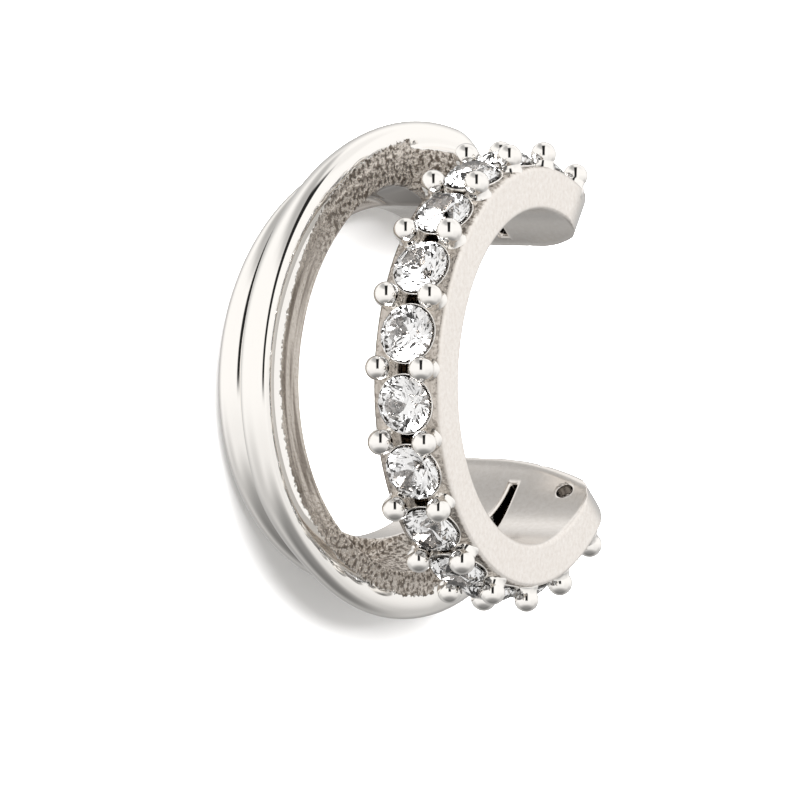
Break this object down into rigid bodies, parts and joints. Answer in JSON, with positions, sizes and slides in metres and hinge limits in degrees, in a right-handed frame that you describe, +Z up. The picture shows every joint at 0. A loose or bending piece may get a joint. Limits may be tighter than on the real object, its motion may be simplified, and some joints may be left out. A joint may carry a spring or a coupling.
{
  "type": "ear cuff",
  "caption": "Split silver ear cuff lying on its side: a band set with round stones between bead prongs, and two polished strands, joined at both ends.",
  "frame": {"origin": "centre of the bottom of the cuff's box, as it rests on the flat side of its low strand", "axes": "+Z up from the resting face, +Y towards the open mouth between the two ends, +X towards the lower end in the picture"},
  "size_m": [0.0112, 0.0096, 0.0058],
  "materials": {
    "silver": "polished silver with as-cast recesses",
    "crystal": "cut and polished"
  },
  "bodies": {
    "root": {"cuff_body": "silver", "stone_01": "crystal", "stone_02": "crystal", "stone_03": "crystal", "stone_04": "crystal", "stone_05": "crystal", "stone_06": "crystal", "stone_07": "crystal", "stone_08": "crystal", "stone_09": "crystal", "stone_10": "crystal", "stone_11": "crystal", "stone_12": "crystal", "stone_13": "crystal"}
  },
  "joints": []
}
